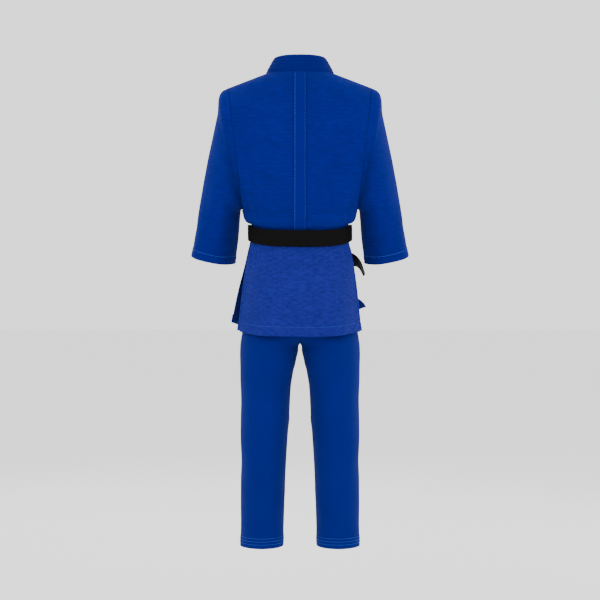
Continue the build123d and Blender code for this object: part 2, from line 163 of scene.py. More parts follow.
# Trousers: height, middle, half width, half depth, degrees of arc each side of the outer line
TROUSERS = [
    (TROUSER_TOP, 0, 120, 82, 90), (-470, 0, 126, 88, 90), (-560, 0, 138, 98, 90),
    (SEAT_END, 0, 151, 104, 90),
    (-715, 22, 139, 103, 99.1), (-750, 55, 113, 103, 119.1), (-782, 86.4, 86, 103, 172),
    (-806, 89.5, 82.8, 101.8, 180), (-830, 92, 80, 101, 180), (-877, 97.5, 75, 98, 180),
    (-988, 101.5, 70.5, 90, 180), (-1112, 106, 66.5, 82, 180), (-1290, 109.5, 63, 74, 180),
    (TROUSER_END, 110.5, 62, 72.5, 180),
]
CROTCH_Z = -782.0
KNEE_TOP = -988.0
KNEE_END = -1290.0
KNEE_ARC = (-160.0, -20.0)
KNEE_CLOTH = 1.6
KNEE_LIFT = 1.9
TROUSER_HEM = 30.0
TROUSER_HEM_PITCH = 9.0
TROUSER_HEM_ROWS = 3
WAISTBAND_CLOTH = 1.8
WAISTBAND = [(TROUSER_TOP, 120.6, 82.6), (-440.0, 124.6, 86.6)]     # height, half width, half depth

# ---- colours ---------------------------------------------------------------------
JACKET_BLUE = (0.0016, 0.0042, 0.142)
BAND_BLUE = (0.0011, 0.0030, 0.096)
SKIRT_BLUE = (0.0085, 0.0095, 0.142)
LINING_BLUE = (0.0012, 0.0040, 0.115)
TROUSER_BLUE = (0.0010, 0.0047, 0.114)
THREAD_BLUE = (0.040, 0.105, 0.520)
SHEEN_BLUE = (0.05, 0.16, 0.60, 1.0)
BELT_BLACK = (0.0026, 0.0023, 0.0022)
FLOOR_COLOUR = (0.93, 0.93, 0.93)


# ---- curves through tables ---------------------------------------------------------
def smooth(places, values, at):
    """A smooth curve through (place, value) pairs, read at each of `at`."""
    places, values, at = np.asarray(places, float), np.asarray(values, float), np.asarray(at, float)
    if places[0] > places[-1]:
        places, values = places[::-1], values[::-1]
    slopes = np.gradient(values, places, axis=0)
    at = np.clip(at, places[0], places[-1])
    index = np.clip(np.searchsorted(places, at, side="right") - 1, 0, len(places) - 2)
    step = places[index + 1] - places[index]
    t = (at - places[index]) / step
    if values.ndim > 1:
        step, t = step[..., None], t[..., None]
    return (
        (2 * t ** 3 - 3 * t ** 2 + 1) * values[index] + (t ** 3 - 2 * t ** 2 + t) * step * slopes[index]
        + (3 * t ** 2 - 2 * t ** 3) * values[index + 1] + (t ** 3 - t ** 2) * step * slopes[index + 1]
    )


def ease(start, end, at):
    """0 before start, 1 after end, and a smooth rise between."""
    t = np.clip((np.asarray(at, float) - start) / (end - start), 0, 1)
    return t * t * (3 - 2 * t)


def bump(middle, reach, at):
    """1 at the middle, falling smoothly to 0 at `reach` away."""
    return np.exp(-((np.asarray(at, float) - middle) / (reach / 2)) ** 2)


def between(start, end, height):
    """x at a height on the straight line from start to end, both (x, z)."""
    return start[0] + (end[0] - start[0]) * (height - start[1]) / (end[1] - start[1])


def wander(a, b, seed):
    """Soft unevenness between about -1 and 1: a few slow waves over two coordinates in millimetres."""
    dice = np.random.default_rng(seed)
    total = np.zeros(np.broadcast(a, b).shape)
    for _ in range(7):
        turn = dice.uniform(0, pi)
        length = dice.uniform(70, 190)
        phase = dice.uniform(0, 2 * pi)
        total = total + np.sin(2 * pi * (a * cos(turn) + b * sin(turn)) / length + phase)
    return total / 3.5


# ---- materials -----------------------------------------------------------------------
class Nodes:
    """A small helper that adds nodes to one material and joins them."""

    def __init__(self, name, roughness, sheen):
        self.material = bpy.data.materials.new(name)
        self.material.use_nodes = True
        self.tree = self.material.node_tree
        self.shader = self.tree.nodes["Principled BSDF"]
        self.shader.inputs["Roughness"].default_value = roughness
        self.shader.inputs["Specular IOR Level"].default_value = 0.05
        self.shader.inputs["Sheen Weight"].default_value = sheen
        self.shader.inputs["Sheen Tint"].default_value = SHEEN_BLUE
        self.shader.inputs["Sheen Roughness"].default_value = 0.6
        uv = self.tree.nodes.new("ShaderNodeTexCoord")
        split = self.tree.nodes.new("ShaderNodeSeparateXYZ")
        self.join(uv.outputs["UV"], split.inputs[0])
        self.place = uv.outputs["Object"]
        self.across = split.outputs[0]
        self.along = split.outputs[1]

    def join(self, source, target):
        self.tree.links.new(source, target)

    def math(self, operation, first, second=None, third=None):
        node = self.tree.nodes.new("ShaderNodeMath")
        node.operation = operation
        for socket, value in zip(node.inputs, (first, second, third)):
            if value is None:
                continue
            if isinstance(value, (int, float)):
                socket.default_value = value
            else:
                self.join(value, socket)
        return node.outputs[0]

    def ridge(self, value, period):
        """0 on lines one period apart, rising to 1 midway between them."""
        folded = self.math("PINGPONG", value, period / 2)
        return self.math("MULTIPLY", folded, 2 / period)

    def waves(self, value, period):
        """A sine wave of one period between 0 and 1."""
        turned = self.math("SINE", self.math("MULTIPLY", value, 2 * pi / period))
        return self.math("MULTIPLY_ADD", turned, 0.5, 0.5)

    def noise(self, scale, detail=3.0, flatten=1.0):
        """Cloudy unevenness. flatten above 1 presses the clouds into level streaks."""
        pressed = self.tree.nodes.new("ShaderNodeVectorMath")
        pressed.operation = "MULTIPLY"
        pressed.inputs[1].default_value = (1, 1, flatten)
        self.join(self.place, pressed.inputs[0])
        node = self.tree.nodes.new("ShaderNodeTexNoise")
        node.inputs["Scale"].default_value = scale
        node.inputs["Detail"].default_value = detail
        self.join(pressed.outputs[0], node.inputs["Vector"])
        return node.outputs["Fac"]

    def colour(self, base, shades):
        """base, with each (factor, low, high) scaling its brightness between low and high."""
        level = None
        for factor, low, high in shades:
            part = self.math("MULTIPLY_ADD", factor, high - low, low)
            level = part if level is None else self.math("MULTIPLY", level, part)
        mix = self.tree.nodes.new("ShaderNodeVectorMath")
        mix.operation = "SCALE"
        mix.inputs[0].default_value = base
        self.join(level, mix.inputs["Scale"])
        self.join(mix.outputs[0], self.shader.inputs["Base Color"])

    def relief(self, height, distance):
        node = self.tree.nodes.new("ShaderNodeBump")
        node.inputs["Strength"].default_value = 1.0
        node.inputs["Distance"].default_value = distance
        self.join(height, node.inputs["Height"])
        self.join(node.outputs[0], self.shader.inputs["Normal"])


def weave_material():
    """Rice-grain weave: short raised grains in rows, every second row half a grain along."""
    n = Nodes("jacket_weave", 0.86, 0.10)
    grain, row = 0.0052, 0.0030
    turned = n.math("SINE", n.math("MULTIPLY", n.along, pi / row))
    shifted = n.math("MULTIPLY_ADD", turned, grain / 4, n.across)
    grains = n.waves(shifted, grain)
    rows = n.ridge(n.along, row)
    height = n.math("MULTIPLY", n.math("MULTIPLY_ADD", grains, 0.5, 0.5), rows)
    ribs = n.waves(n.along, 4 * row)
    # painted shade: the first factor darkens the colour in the hollows between the raised grains and rows,
    # where the relief would shade
    n.colour(JACKET_BLUE, [
        (height, 0.78, 1.16), (ribs, 0.97, 1.03), (n.noise(9.0), 0.84, 1.16),
        (n.noise(40.0, 3.0, 5.0), 0.62, 1.38),
    ])
    n.relief(n.math("MULTIPLY_ADD", ribs, 0.12, height), 0.0011)
    return n.material


def quilt_material():
    """Quilted skirt: crossing rows of stitches leave long raised diamonds, over a close weave."""
    n = Nodes("skirt_quilt", 0.88, 0.12)
    wide, tall = 0.030, 0.015
    a = n.math("DIVIDE", n.across, wide)
    b = n.math("DIVIDE", n.along, tall)
    first = n.ridge(n.math("ADD", a, b), 1.0)
    second = n.ridge(n.math("SUBTRACT", a, b), 1.0)
    lines = n.math("MINIMUM", first, second)
    puff = n.math("POWER", n.math("MINIMUM", n.math("MULTIPLY", lines, 3.0), 1.0), 0.6)
    dash = n.ridge(n.along, 0.0026)
    thread = n.math("MULTIPLY", n.math("LESS_THAN", lines, 0.07), n.math("GREATER_THAN", dash, 0.35))
    fine = n.waves(n.across, 0.0016)
    rib = n.waves(n.along, 0.0022)
    close = n.math("MULTIPLY_ADD", n.math("MULTIPLY", fine, rib), 0.10, puff)
    # painted shade: puff darkens the colour along the quilting lines, in the grooves between the raised
    # diamonds
    n.colour(SKIRT_BLUE, [
        (puff, 0.82, 1.05), (thread, 1.0, 1.8), (n.noise(11.0), 0.84, 1.16),
        (n.noise(60.0, 4.0, 2.5), 0.48, 1.52),
    ])
    n.relief(close, 0.0015)
    return n.material


def twill_material(name, base, roughness):
    """Plain twill: fine slanting ribs."""
    n = Nodes(name, roughness, 0.08)
    slant = n.math("ADD", n.across, n.math("MULTIPLY", n.along, 0.6))
    ribs = n.waves(slant, 0.0015)
    n.colour(base, [(ribs, 0.94, 1.05), (n.noise(7.0), 0.88, 1.12), (n.noise(90.0, 2.0), 0.95, 1.05)])
    n.relief(ribs, 0.00022)
    return n.material


def band_material(name, base, width, rows, lined, roughness, sheen=0.08):
    """A stitched band: rows of stitching run its whole length, and the cloth puffs up between them."""
    n = Nodes(name, roughness, sheen)
    pitch = width / rows * MM
    puff = n.math("POWER", n.ridge(n.across, pitch), 0.5)
    dash = n.ridge(n.along, 0.0034)
    near = n.math("LESS_THAN", n.ridge(n.across, pitch), 0.16)
    thread = n.math("MULTIPLY", near, n.math("GREATER_THAN", dash, 0.35))
    weft = n.waves(n.along, 0.0017)
    height = n.math("MULTIPLY_ADD", weft, 0.12, n.math("MULTIPLY_ADD", thread, 0.25, puff))
    # painted shade: puff darkens the colour along the stitch rows, in the grooves between the puffed strips
    n.colour(base, [
        (puff, 0.80, 1.06), (thread, 1.0, lined), (weft, 0.95, 1.04), (n.noise(12.0), 0.88, 1.13),
    ])
    n.relief(height, 0.0009)
    return n.material


def plain_material(name, base, roughness):
    """Thread or floor: one colour, a little uneven."""
    n = Nodes(name, roughness, 0.0)
    n.colour(base, [(n.noise(30.0), 0.94, 1.06)])
    return n.material


LAPEL_ROWS_WIDTH = 48.0
WEAVE = weave_material()
QUILT = quilt_material()
TWILL = twill_material("trouser_twill", TROUSER_BLUE, 0.84)
LINING = twill_material("lining_cloth", LINING_BLUE, 0.88)
BAND = band_material("collar_band", BAND_BLUE, LAPEL_ROWS_WIDTH, BAND_ROWS, 1.25, 0.84)
BELT = band_material("belt_rows", BELT_BLACK, BELT_WIDTH, BELT_ROWS, 1.9, 0.72, 0.0)
TAPE = twill_material("back_tape", tuple(0.88 * part for part in JACKET_BLUE), 0.84)
THREAD = plain_material("thread", THREAD_BLUE, 0.7)


# ---- meshes -------------------------------------------------------------------------
def mesh_object(name, points, faces, uvs, material):
    """A smooth mesh from points in millimetres. uvs has one pair for each point, in metres."""
    mesh = bpy.data.meshes.new(name)
    mesh.from_pydata((np.asarray(points, float) * MM).tolist(), [], faces)
    layer = mesh.uv_layers.new(name="UVMap")
    corners = np.zeros(len(mesh.loops), int)
    mesh.loops.foreach_get("vertex_index", corners)
    layer.data.foreach_set("uv", np.asarray(uvs, float)[corners].astype(np.float32).ravel())
    mesh.polygons.foreach_set("use_smooth", np.ones(len(mesh.polygons), bool))
    mesh.materials.append(material)
    mesh.update()
    piece = bpy.data.objects.new(name, mesh)
    bpy.context.scene.collection.objects.link(piece)
    return piece


def grid_faces(rows, columns, flip=False):
    """Four-sided faces of a grid whose points are numbered row by row."""
    corner = (np.arange(rows - 1)[:, None] * columns + np.arange(columns - 1)[None, :]).ravel()
    faces = np.stack([corner, corner + 1, corner + columns + 1, corner + columns], axis=1)
    if flip:
        faces = faces[:, ::-1]
    return faces.tolist()


def run_lengths(points, axis):
    """Distance along a grid from its first row or column, in metres."""
    steps = np.linalg.norm(np.diff(points, axis=axis), axis=2)
    edge = [(1, 0), (0, 0)] if axis == 0 else [(0, 0), (1, 0)]
    return np.cumsum(np.pad(steps, edge), axis=axis) * MM


def cloth(name, points, thickness, material, flip=False):
    """A sheet of cloth on a grid of points in millimetres, thickened inwards from the surface that shows.

    flip turns its faces over: they have to face outwards, or the thickness grows outwards.
    """
    rows, columns = points.shape[:2]
    across = run_lengths(points, 1)
    across = across - across[:, columns // 2][:, None]
    along = np.broadcast_to(run_lengths(points, 0).mean(axis=1)[:, None], (rows, columns))
    uvs = np.stack([across, along], axis=2).reshape(-1, 2)
    piece = mesh_object(name, points.reshape(-1, 3), grid_faces(rows, columns, flip), uvs, material)
    solid = piece.modifiers.new("thickness", "SOLIDIFY")
    solid.thickness = thickness * MM
    solid.offset = -1
    solid.use_even_offset = False
    return piece


def stitches(name, path, normals, width=STITCH_WIDTH):
    """A row of thread stitches along a path on cloth, each a small pointed grain."""
    path, normals = np.asarray(path, float), np.asarray(normals, float)
    steps = np.linalg.norm(np.diff(path, axis=0), axis=1)
    run = np.concatenate([[0], np.cumsum(steps)])
    count = max(2, int(run[-1] / STITCH_SPACING))
    middles = (np.arange(count) + 0.5) * run[-1] / count

    def read(values, at):
        return np.stack([np.interp(at, run, values[:, axis]) for axis in range(3)], axis=1)

    centre = read(path, middles)
    ahead = read(path, middles + 0.5) - read(path, middles - 0.5)
    ahead /= np.linalg.norm(ahead, axis=1)[:, None]
    out = read(normals, middles)
    out /= np.linalg.norm(out, axis=1)[:, None]
    side = np.cross(ahead, out)
    corners = np.stack([
        centre + ahead * STITCH_LENGTH / 2, centre + side * width / 2,
        centre - ahead * STITCH_LENGTH / 2, centre - side * width / 2,
        centre + out * STITCH_HEIGHT, centre - out * STITCH_HEIGHT,
    ], axis=1)
    one = np.array([(0, 1, 4), (1, 2, 4), (2, 3, 4), (3, 0, 4), (1, 0, 5), (2, 1, 5), (3, 2, 5), (0, 3, 5)])
    faces = (one[None] + np.arange(count)[:, None, None] * 6).reshape(-1, 3)
    flat = corners.reshape(-1, 3)
    return mesh_object(name, flat, faces.tolist(), np.zeros((len(flat), 2)), THREAD)


def join_rows(name, rows):
    """Several stitch rows as one piece."""
    with bpy.context.temp_override(active_object=rows[0], selected_editable_objects=rows):
        bpy.ops.object.join()
    rows[0].name = name
    return rows[0]


def declare(replaced=()):
    """Hides the CAD nodes that the piece stands for."""
    if replaced:
        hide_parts(*replaced)


def lay(piece, body, replaced=()):
    """The piece moves with one body, and the CAD nodes that it stands for are hidden."""
    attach(piece, body)
    declare(replaced)


def relaxed(points, share, rounds):
    """The grid with its inner points drawn again and again towards their neighbours' middle."""
    points = points.copy()
    share = (share + np.zeros(points.shape[:2]))[1:-1, 1:-1, None]
    for _ in range(rounds):
        around = points[:-2, 1:-1] + points[2:, 1:-1] + points[1:-1, :-2] + points[1:-1, 2:]
        points[1:-1, 1:-1] += share * (around / 4 - points[1:-1, 1:-1])
    return points


# ---- the torso's surface ---------------------------------------------------------------
def armhole_x(z):
    return between((ARMHOLE_X[0], SHOULDER_Z), (ARMHOLE_X[1], ARMPIT_Z), z)


def torso_sizes(z):
    """Half width and half depth of the torso at heights z."""
    z = np.asarray(z, float)
    depth = smooth(*zip(*TORSO_DEPTHS), z)
    middle, reach = (SHOULDER_Z + ARMPIT_Z) / 2, (SHOULDER_Z - ARMPIT_Z) / 2
    inside = np.clip(1 - ((z - middle) / reach) ** 2, 0, 1)
    arm_depth = ARMHOLE_HALF_DEPTH * np.sqrt(inside)
    widened = armhole_x(z) / np.sqrt(1 - (arm_depth / depth) ** 2)
    shoulder = np.interp(-z, [-h for h, _ in SHOULDER_WIDTHS], [w for _, w in SHOULDER_WIDTHS])
    waist = smooth(*zip(*WAIST_WIDTHS), z)
    width = np.where(z > SHOULDER_Z, shoulder, np.where(z < ARMPIT_Z, waist, widened))
    return width, depth


def side_angle(z, width):
    """The angle from the side line at which the armhole cuts the torso."""
    inside = (z < SHOULDER_Z) & (z > ARMPIT_Z)
    return np.where(inside, np.arccos(np.clip(armhole_x(z) / width, -1, 1)), 0)


def torso_folds(angle, z, back):
    """How far the cloth stands off its smooth shape: blousing, gathers and slow unevenness."""
    girth = angle * 130
    near_waist = ease(-290, -405, z)
    under = ease(-428, -436, z)
    gathers = np.sin(9 * angle + 0.7) + 0.7 * np.sin(15.5 * angle + 2.1) + 0.45 * np.sin(26 * angle + 0.4)
    height = near_waist * (1 - under) * (1.6 + 1.5 * gathers)
    height = height + 1.3 * wander(girth, z, 11 if back else 12) * ease(-20, -110, z) * (1 - under)
    # soft creases fall from the armhole towards the side of the waist
    for start, lean, deep in ((0.52, 0.10, 2.4), (0.74, 0.16, 1.5)):
        away = np.minimum(angle, pi - angle)
        line = start - lean * ease(-150, -400, z)
        reach = ease(-170, -300, z) * (1 - ease(-385, -410, z))
        height = height - deep * bump(0, 0.11, away - line) * reach
    return height


def armhole_fill(z):
    """How far the cloth stands off the armhole's ellipse, so that the shoulder runs on into the arm."""
    return 13.0 * np.sin(pi * np.clip((SHOULDER_Z - 3 - z) / 290, 0, 1)) ** 0.8


def torso_point(angle, z, offset, back):
    """Points of a torso layer. offset is (at the side, in depth), angle runs from the side line."""
    width, depth = torso_sizes(z)
    side, deep = offset
    fold = torso_folds(angle, z, back)
    from_seam = np.minimum(angle, pi - angle) - side_angle(z, width)
    edge = ease(0, 0.10, from_seam)
    sink = 0.8 * (1 - ease(0, 0.16, from_seam))
    sink = sink * ease(-190, -330, z) * (1 - ease(-388, -400, z))
    fold = fold * edge - sink
    x = (width + side + fold) * np.cos(angle)
    y = (depth + deep + fold) * np.sin(angle)
    y = y + armhole_fill(z) * (1 - ease(0, 0.5, from_seam))
    blouse = ease(BLOUSE_START, BLOUSE_END, z)
    drop = np.where(back, (BELT_SIDE_Z - BELT_BACK_Z) * np.sin(angle) ** 1.3, -3.0 * np.sin(angle))
    wave = 2.6 * np.sin(11 * angle + 1.3) + 1.6 * np.sin(19 * angle)
    hang = blouse * (1 - ease(-424, -440, z))
    height = z - drop * blouse - wave * hang * edge
    return np.stack(np.broadcast_arrays(x, y if back else -y, height), axis=-1)


TORSO_ROWS = np.concatenate([
    np.linspace(0, -40, 24), np.linspace(-42.5, -390, 96), np.linspace(-392.5, -445, 30),
    np.linspace(-450, TORSO_END, 5),
])


def layered(offset, z):
    """A front layer's offset, faded out on the shoulder where the fronts don't overlap."""
    share = 0.12 + 0.88 * ease(LAYERS_START, LAYERS_END, z)
    return offset[0] * share, offset[1] * share


def torso_grid(offset, back, columns, start_x=None, end_x=None, rows=TORSO_ROWS, fade=False, side=1):
    """A grid over the torso from x = start_x(z) or the left side to x = end_x(z) or the right side."""
    z = rows[:, None]
    grown = layered(offset, z) if fade else offset
    width = torso_sizes(z)[0]
    wide = width + grown[0]
    left = side_angle(z, width)
    start = np.arccos(np.clip(start_x(z) / wide, -1, 1)) if start_x else left
    end = np.arccos(np.clip(end_x(z) / wide, -1, 1)) if end_x else pi - left
    angle = start + (end - start) * np.linspace(0, 1, columns)[None, :]
    if fade:
        # the layer comes down to the sleeve along the armhole and the side
        clear = ease(0, LAYER_CLEAR_ANGLE, angle - start)
        grown = grown[0] * clear, grown[1] * clear
    points = torso_point(angle, z + 0 * angle, grown, back)
    column = np.linspace(0, 1, columns)[None, :]
    inside = ease(0, 0.14, column) * ease(1, 0.86, column)
    points = relaxed(points, 0.9 * inside * ease(-4, -16, z) * (1 - ease(-60, -110, z)), 70)
    points[..., 0] *= side
    return points


def lapel_middle(z):
    z = np.asarray(z, float)
    upper, lower = between(LAPEL_START, LAPEL_WAIST, z), between(LAPEL_WAIST, LAPEL_HEM, z)
    return np.where(z < LAPEL_WAIST[1], lower, upper)


def lapel_inner(z):
    return lapel_middle(z) - LAPEL_WIDTH / 2


def lapel_outer(z):
    return lapel_middle(z) + LAPEL_WIDTH / 2


# ---- jacket body ---------------------------------------------------------------------------
def make_back():
    points = torso_grid((0, 0), True, 180)
    back = cloth("jacket_back", points, JACKET_CLOTH, WEAVE, flip=True)
    lay(back, "jacket", ["back_panel_left", "back_panel_right"])


def make_tape():
    """The tape down the middle of the back, sewn along both edges."""
    def edge(z):
        return TAPE_WIDTH / 2 + 0 * z

    points = torso_grid((TAPE_LIFT, TAPE_LIFT), True, TAPE_COLUMNS, start_x=edge, end_x=lambda z: -edge(z))
    share = np.abs(np.linspace(-1, 1, TAPE_COLUMNS))[None, :]
    points[..., 1] += 0.7 - 1.5 * bump(TAPE_SEAM, 0.13, share)
    tape = cloth("centre_tape", points, TAPE_CLOTH, TAPE, flip=True)
    lay(tape, "jacket", ["centre_back_tape"])
    rows = []
    for share, width in zip((1 - TAPE_SEAM, 1 + TAPE_SEAM), TAPE_STITCH_WIDTHS):
        column = int(round((TAPE_COLUMNS - 1) * share / 2))
        line = points[3:-5, column] + (0, STITCH_LIFT, 0)
        out = np.tile((0, 1, 0.1), (len(line), 1))
        rows.append(stitches(f"tape_row_{column}", line, out, width))
    seam = join_rows("tape_stitches", rows)
    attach(seam, "jacket")


def make_fronts():
    right = torso_grid((0, 0), False, 150, end_x=lapel_inner, side=-1)
    front = cloth("jacket_front_right", right, JACKET_CLOTH, WEAVE, flip=True)
    lay(front, "jacket", ["front_panel_right"])
    outer = (LEFT_FRONT_OFFSET[0] + JACKET_CLOTH, LEFT_FRONT_OFFSET[1] + JACKET_CLOTH)
    left = torso_grid(outer, False, 150, end_x=lapel_inner, fade=True)
    front = cloth("jacket_front_left", left, JACKET_CLOTH, WEAVE)
    lay(front, "jacket", ["front_panel_left"])


def band_half(offset, side):
    """Free and sewn edges of half the collar band, from the middle of the back down to the waist."""
    free = [Vector(a) for a, _ in COLLAR_STATIONS]
    sewn = [Vector(b) for _, b in COLLAR_STATIONS]
    for z in (-30, -50, -75, -105, -150, -200, -250, -300, -350, -390, -412, -428, -440, -456, TORSO_END):
        z = float(z)
        for edge, place in ((free, lapel_inner), (sewn, lapel_outer)):
            level = z if edge is sewn else z + 28 * float(1 - ease(-30, -150, z))
            grown = layered(offset, level)
            width = torso_sizes(level)[0] + grown[0]
            angle = np.arccos(np.clip(place(level) / width, -1, 1))
            edge.append(Vector(torso_point(angle, np.float64(level), grown, False)))
    free, sewn = np.array(free), np.array(sewn)
    middle = (free + sewn) / 2
    run = np.concatenate([[0], np.cumsum(np.linalg.norm(np.diff(middle, axis=0), axis=1))])
    at = np.linspace(0, run[-1], 190)
    free, sewn = smooth(run, free, at), smooth(run, sewn, at)
    free[:, 0] *= side
    sewn[:, 0] *= side
    return free, sewn


def make_collar():
    """One stitched band runs up the right front, round the neck and down the left front."""
    left_free, left_sewn = band_half(LEFT_LAPEL_OFFSET, 1)
    right_free, right_sewn = band_half(RIGHT_LAPEL_OFFSET, -1)
    free = np.concatenate([right_free[:0:-1], left_free])
    sewn = np.concatenate([right_sewn[:0:-1], left_sewn])
    share = np.linspace(0, 1, 26)[None, :, None]
    points = free[:, None] * (1 - share) + sewn[:, None] * share
    along = np.gradient(points, axis=0)
    across = np.gradient(points, axis=1)
    out = np.cross(along, across)
    out /= np.linalg.norm(out, axis=2)[..., None]
    rows = np.abs(np.sin(pi * BAND_ROWS * share[..., 0])) ** 0.6
    crown = 1 - (2 * share[..., 0] - 1) ** 6
    lift = BAND_THICKNESS * (0.25 + 0.75 * crown) + 1.1 * rows
    middle = points.mean(axis=1, keepdims=True)
    outward = np.where(points[..., 2] > -20, (out * (middle * (1, 1, 0))).sum(axis=2), -out[..., 1])
    if outward.mean() < 0:
        out = -out
    points = points + out * lift[..., None]
    band = cloth("collar_band", points, BAND_THICKNESS, BAND, flip=True)
    lay(band, "jacket", ["neck_band", "lapel_left", "lapel_right"])


def make_linings():
    """The yoke lining inside the shoulders and the tape inside the waist."""
    rows = np.linspace(*YOKE_HEIGHTS, 50)

    def edge(z):
        return YOKE_HALF_WIDTH + 0 * z

    inside = -(JACKET_CLOTH + LAYER_GAP)
    points = torso_grid((inside, inside), True, 60, start_x=edge, end_x=lambda z: -edge(z), rows=rows)
    yoke = cloth("yoke_inside", points, LINING_CLOTH, LINING, flip=True)
    lay(yoke, "jacket", ["yoke_lining"])
    points = torso_grid((inside, inside), True, 60, rows=np.linspace(*WAIST_TAPE_HEIGHTS, 5))
    tape = cloth("waist_tape_inside", points, LINING_CLOTH, LINING, flip=True)
    lay(tape, "jacket", ["waist_tape"])


# ---- sleeves --------------------------------------------------------------------------------
def sleeve_frames():
    """Sleeve sections as rows of (middle, across, deep, half length, half depth)."""
    sections = []

    def add(base, turn, length, half_depth, shift, tilt):
        across = Vector((sin(radians(turn)), 0, cos(radians(turn))))
        deep = Vector((0, cos(radians(tilt)), -sin(radians(tilt))))
        deep = (deep - across * across.dot(deep)).normalized()
        middle = Vector((base[0], shift, base[1])) + across * (length / 2)
        sections.append([*middle, *across, *deep, length / 2, half_depth])

    rise, run = SHOULDER_Z - ARMPIT_Z, ARMHOLE_X[0] - ARMHOLE_X[1]
    length = sqrt(rise ** 2 + run ** 2)
    turn = np.degrees(atan(run / rise))
    base = (ARMHOLE_X[1], ARMPIT_Z)
    pivot = (base[0] - ARMPIT_RADIUS * sin(radians(turn)), base[1] - ARMPIT_RADIUS * cos(radians(turn)))
    add(base, turn, length, ARMHOLE_HALF_DEPTH, 0, 0)
    lean = (CUFF_OUTER[0] - SHOULDER_CORNER[0]) / (SHOULDER_CORNER[1] - CUFF_OUTER[1])
    for turn, half_depth, shift, tilt in SLEEVE_FAN:
        room = SHOULDER_CORNER[0] - pivot[0] + lean * (SHOULDER_CORNER[1] - pivot[1])
        length = room / (sin(radians(turn)) + lean * cos(radians(turn))) - ARMPIT_RADIUS
        out, up = sin(radians(turn)), cos(radians(turn))
        base = (pivot[0] + ARMPIT_RADIUS * out, pivot[1] + ARMPIT_RADIUS * up)
        add(base, turn, length, half_depth, shift, tilt)
    for share, half_depth, shift, tilt in SLEEVE_LOWER:
        foot = (base[0] + (CUFF_INNER[0] - base[0]) * share, base[1] + (CUFF_INNER[1] - base[1]) * share)
        add(foot, turn, length + (CUFF_ACROSS - length) * share, half_depth, shift, tilt)
    return np.array(sections)


SLEEVE = sleeve_frames()
SLEEVE_RUN = np.concatenate([[0], np.cumsum(np.linalg.norm(np.diff(SLEEVE[:, :3], axis=0), axis=1))])
SLEEVE_LENGTH = SLEEVE_RUN[-1]


def sleeve_grid(offset, start, end, rows, columns=150, side=1, folds=True):
    """A tube over the sleeve between two distances from the armhole."""
    run = np.linspace(start, end, rows)
    at = smooth(SLEEVE_RUN, SLEEVE, run)
    angle = np.linspace(0, 2 * pi, columns)[None, :]
    middle, across, deep = (at[:, None, i:i + 3] for i in (0, 3, 6))
    half, depth = at[:, 9][:, None], at[:, 10][:, None]
    s = run[:, None]
    share = s / SLEEVE_LENGTH
    fold = np.zeros((rows, columns))
    if folds:
        loose = ease(0.02, 0.4, share)
        waves = 1.6 * np.sin(3 * angle + 5 * share) + 1.3 * np.sin(5 * angle - 3 * share + 1)
        fold = fold + loose * waves
        fold = fold + 1.2 * loose * wander(angle / (2 * pi) * 420, s, 31)
        # creases that run slantwise from the armpit across the back and front of the sleeve
        for place, lean, deep_by in ((2.35, 1.5, 3.2), (3.95, -1.5, 3.2), (2.0, 1.1, 1.8), (4.3, -1.1, 1.8)):
            line = place - lean * share
            reach = ease(0.0, 0.14, share) * (1 - ease(0.45, 0.85, share))
            fold = fold - deep_by * bump(0, 0.34, angle - line) * reach
        underarm = bump(pi, 1.1, angle)
        fold = fold - 1.0 * underarm * (1 - ease(0.0, 0.10, share)) * ease(0.0, 0.02, share)
        hem = ease(SLEEVE_LENGTH - CUFF_HEM - 1.5, SLEEVE_LENGTH - CUFF_HEM + 1.5, s)
        fold = fold + 0.9 * hem - 0.8 * bump(SLEEVE_LENGTH - CUFF_HEM, 5, s)
    fade = ease(0, 0.03, share)
    grow = offset + fold * fade
    points = middle + across * ((half + grow) * np.cos(angle))[..., None]
    points = points + deep * ((depth + grow) * np.sin(angle))[..., None]
    points[..., 1] += np.sign(np.sin(angle)) * armhole_fill(points[..., 2]) * (1 - ease(0, 0.5, share)) * (
        np.abs(np.sin(angle)) ** 0.5
    )
    points[..., 0] *= side
    return points


def make_sleeves():
    for word, side in (("left", 1), ("right", -1)):
        tube = sleeve_grid(0, 0, SLEEVE_LENGTH, 130, side=side)
        inside = -JACKET_CLOTH - LAYER_GAP / 2
        inner = sleeve_grid(inside, SLEEVE_LENGTH - CUFF_FACING, SLEEVE_LENGTH - 1, 14, side=side)
        line = sleeve_grid(STITCH_LIFT, SLEEVE_LENGTH - CUFF_HEM, SLEEVE_LENGTH - CUFF_HEM, 1, side=side)[0]
        normals = line - line.mean(axis=0)
        # begin and end lie off the armhole at the SLEEVE_BEND distances; nothing reads them
        down = Vector((ARMHOLE_X[1] - ARMHOLE_X[0], 0, ARMPIT_Z - SHOULDER_Z))
        normal = down.cross(Vector((0, 1, 0))).normalized()
        if normal.x < 0:
            normal = -normal
        seam = Vector((ARMHOLE_X[1], 0, ARMPIT_Z))
        begin, end = ((seam + normal * distance) * MM for distance in SLEEVE_BEND)
        begin.x *= side
        end.x *= side
        sleeve = cloth(f"sleeve_{word}_cloth", tube, JACKET_CLOTH, WEAVE, flip=side > 0)
        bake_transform(sleeve)
        declare([f"{word}_sleeve"])
        facing = cloth(f"cuff_{word}_inside", inner, LINING_CLOTH, LINING, flip=side > 0)
        lay(facing, f"sleeve_{word}", [f"{word}_cuff_facing"])
        seam_row = stitches(f"cuff_{word}_stitches", line, normals)
        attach(seam_row, f"sleeve_{word}")


# ---- belt -------------------------------------------------------------------------------------
def belt_line(y):
    """Height of the belt's middle line at a depth."""
    back = (BELT_BACK_Z - BELT_SIDE_Z) * ease(-20, BELT_HALF_DEPTH, y)
    front = (BELT_FRONT_Z - BELT_SIDE_Z) * ease(0, -BELT_HALF_DEPTH, y)
    return BELT_SIDE_Z + back + front


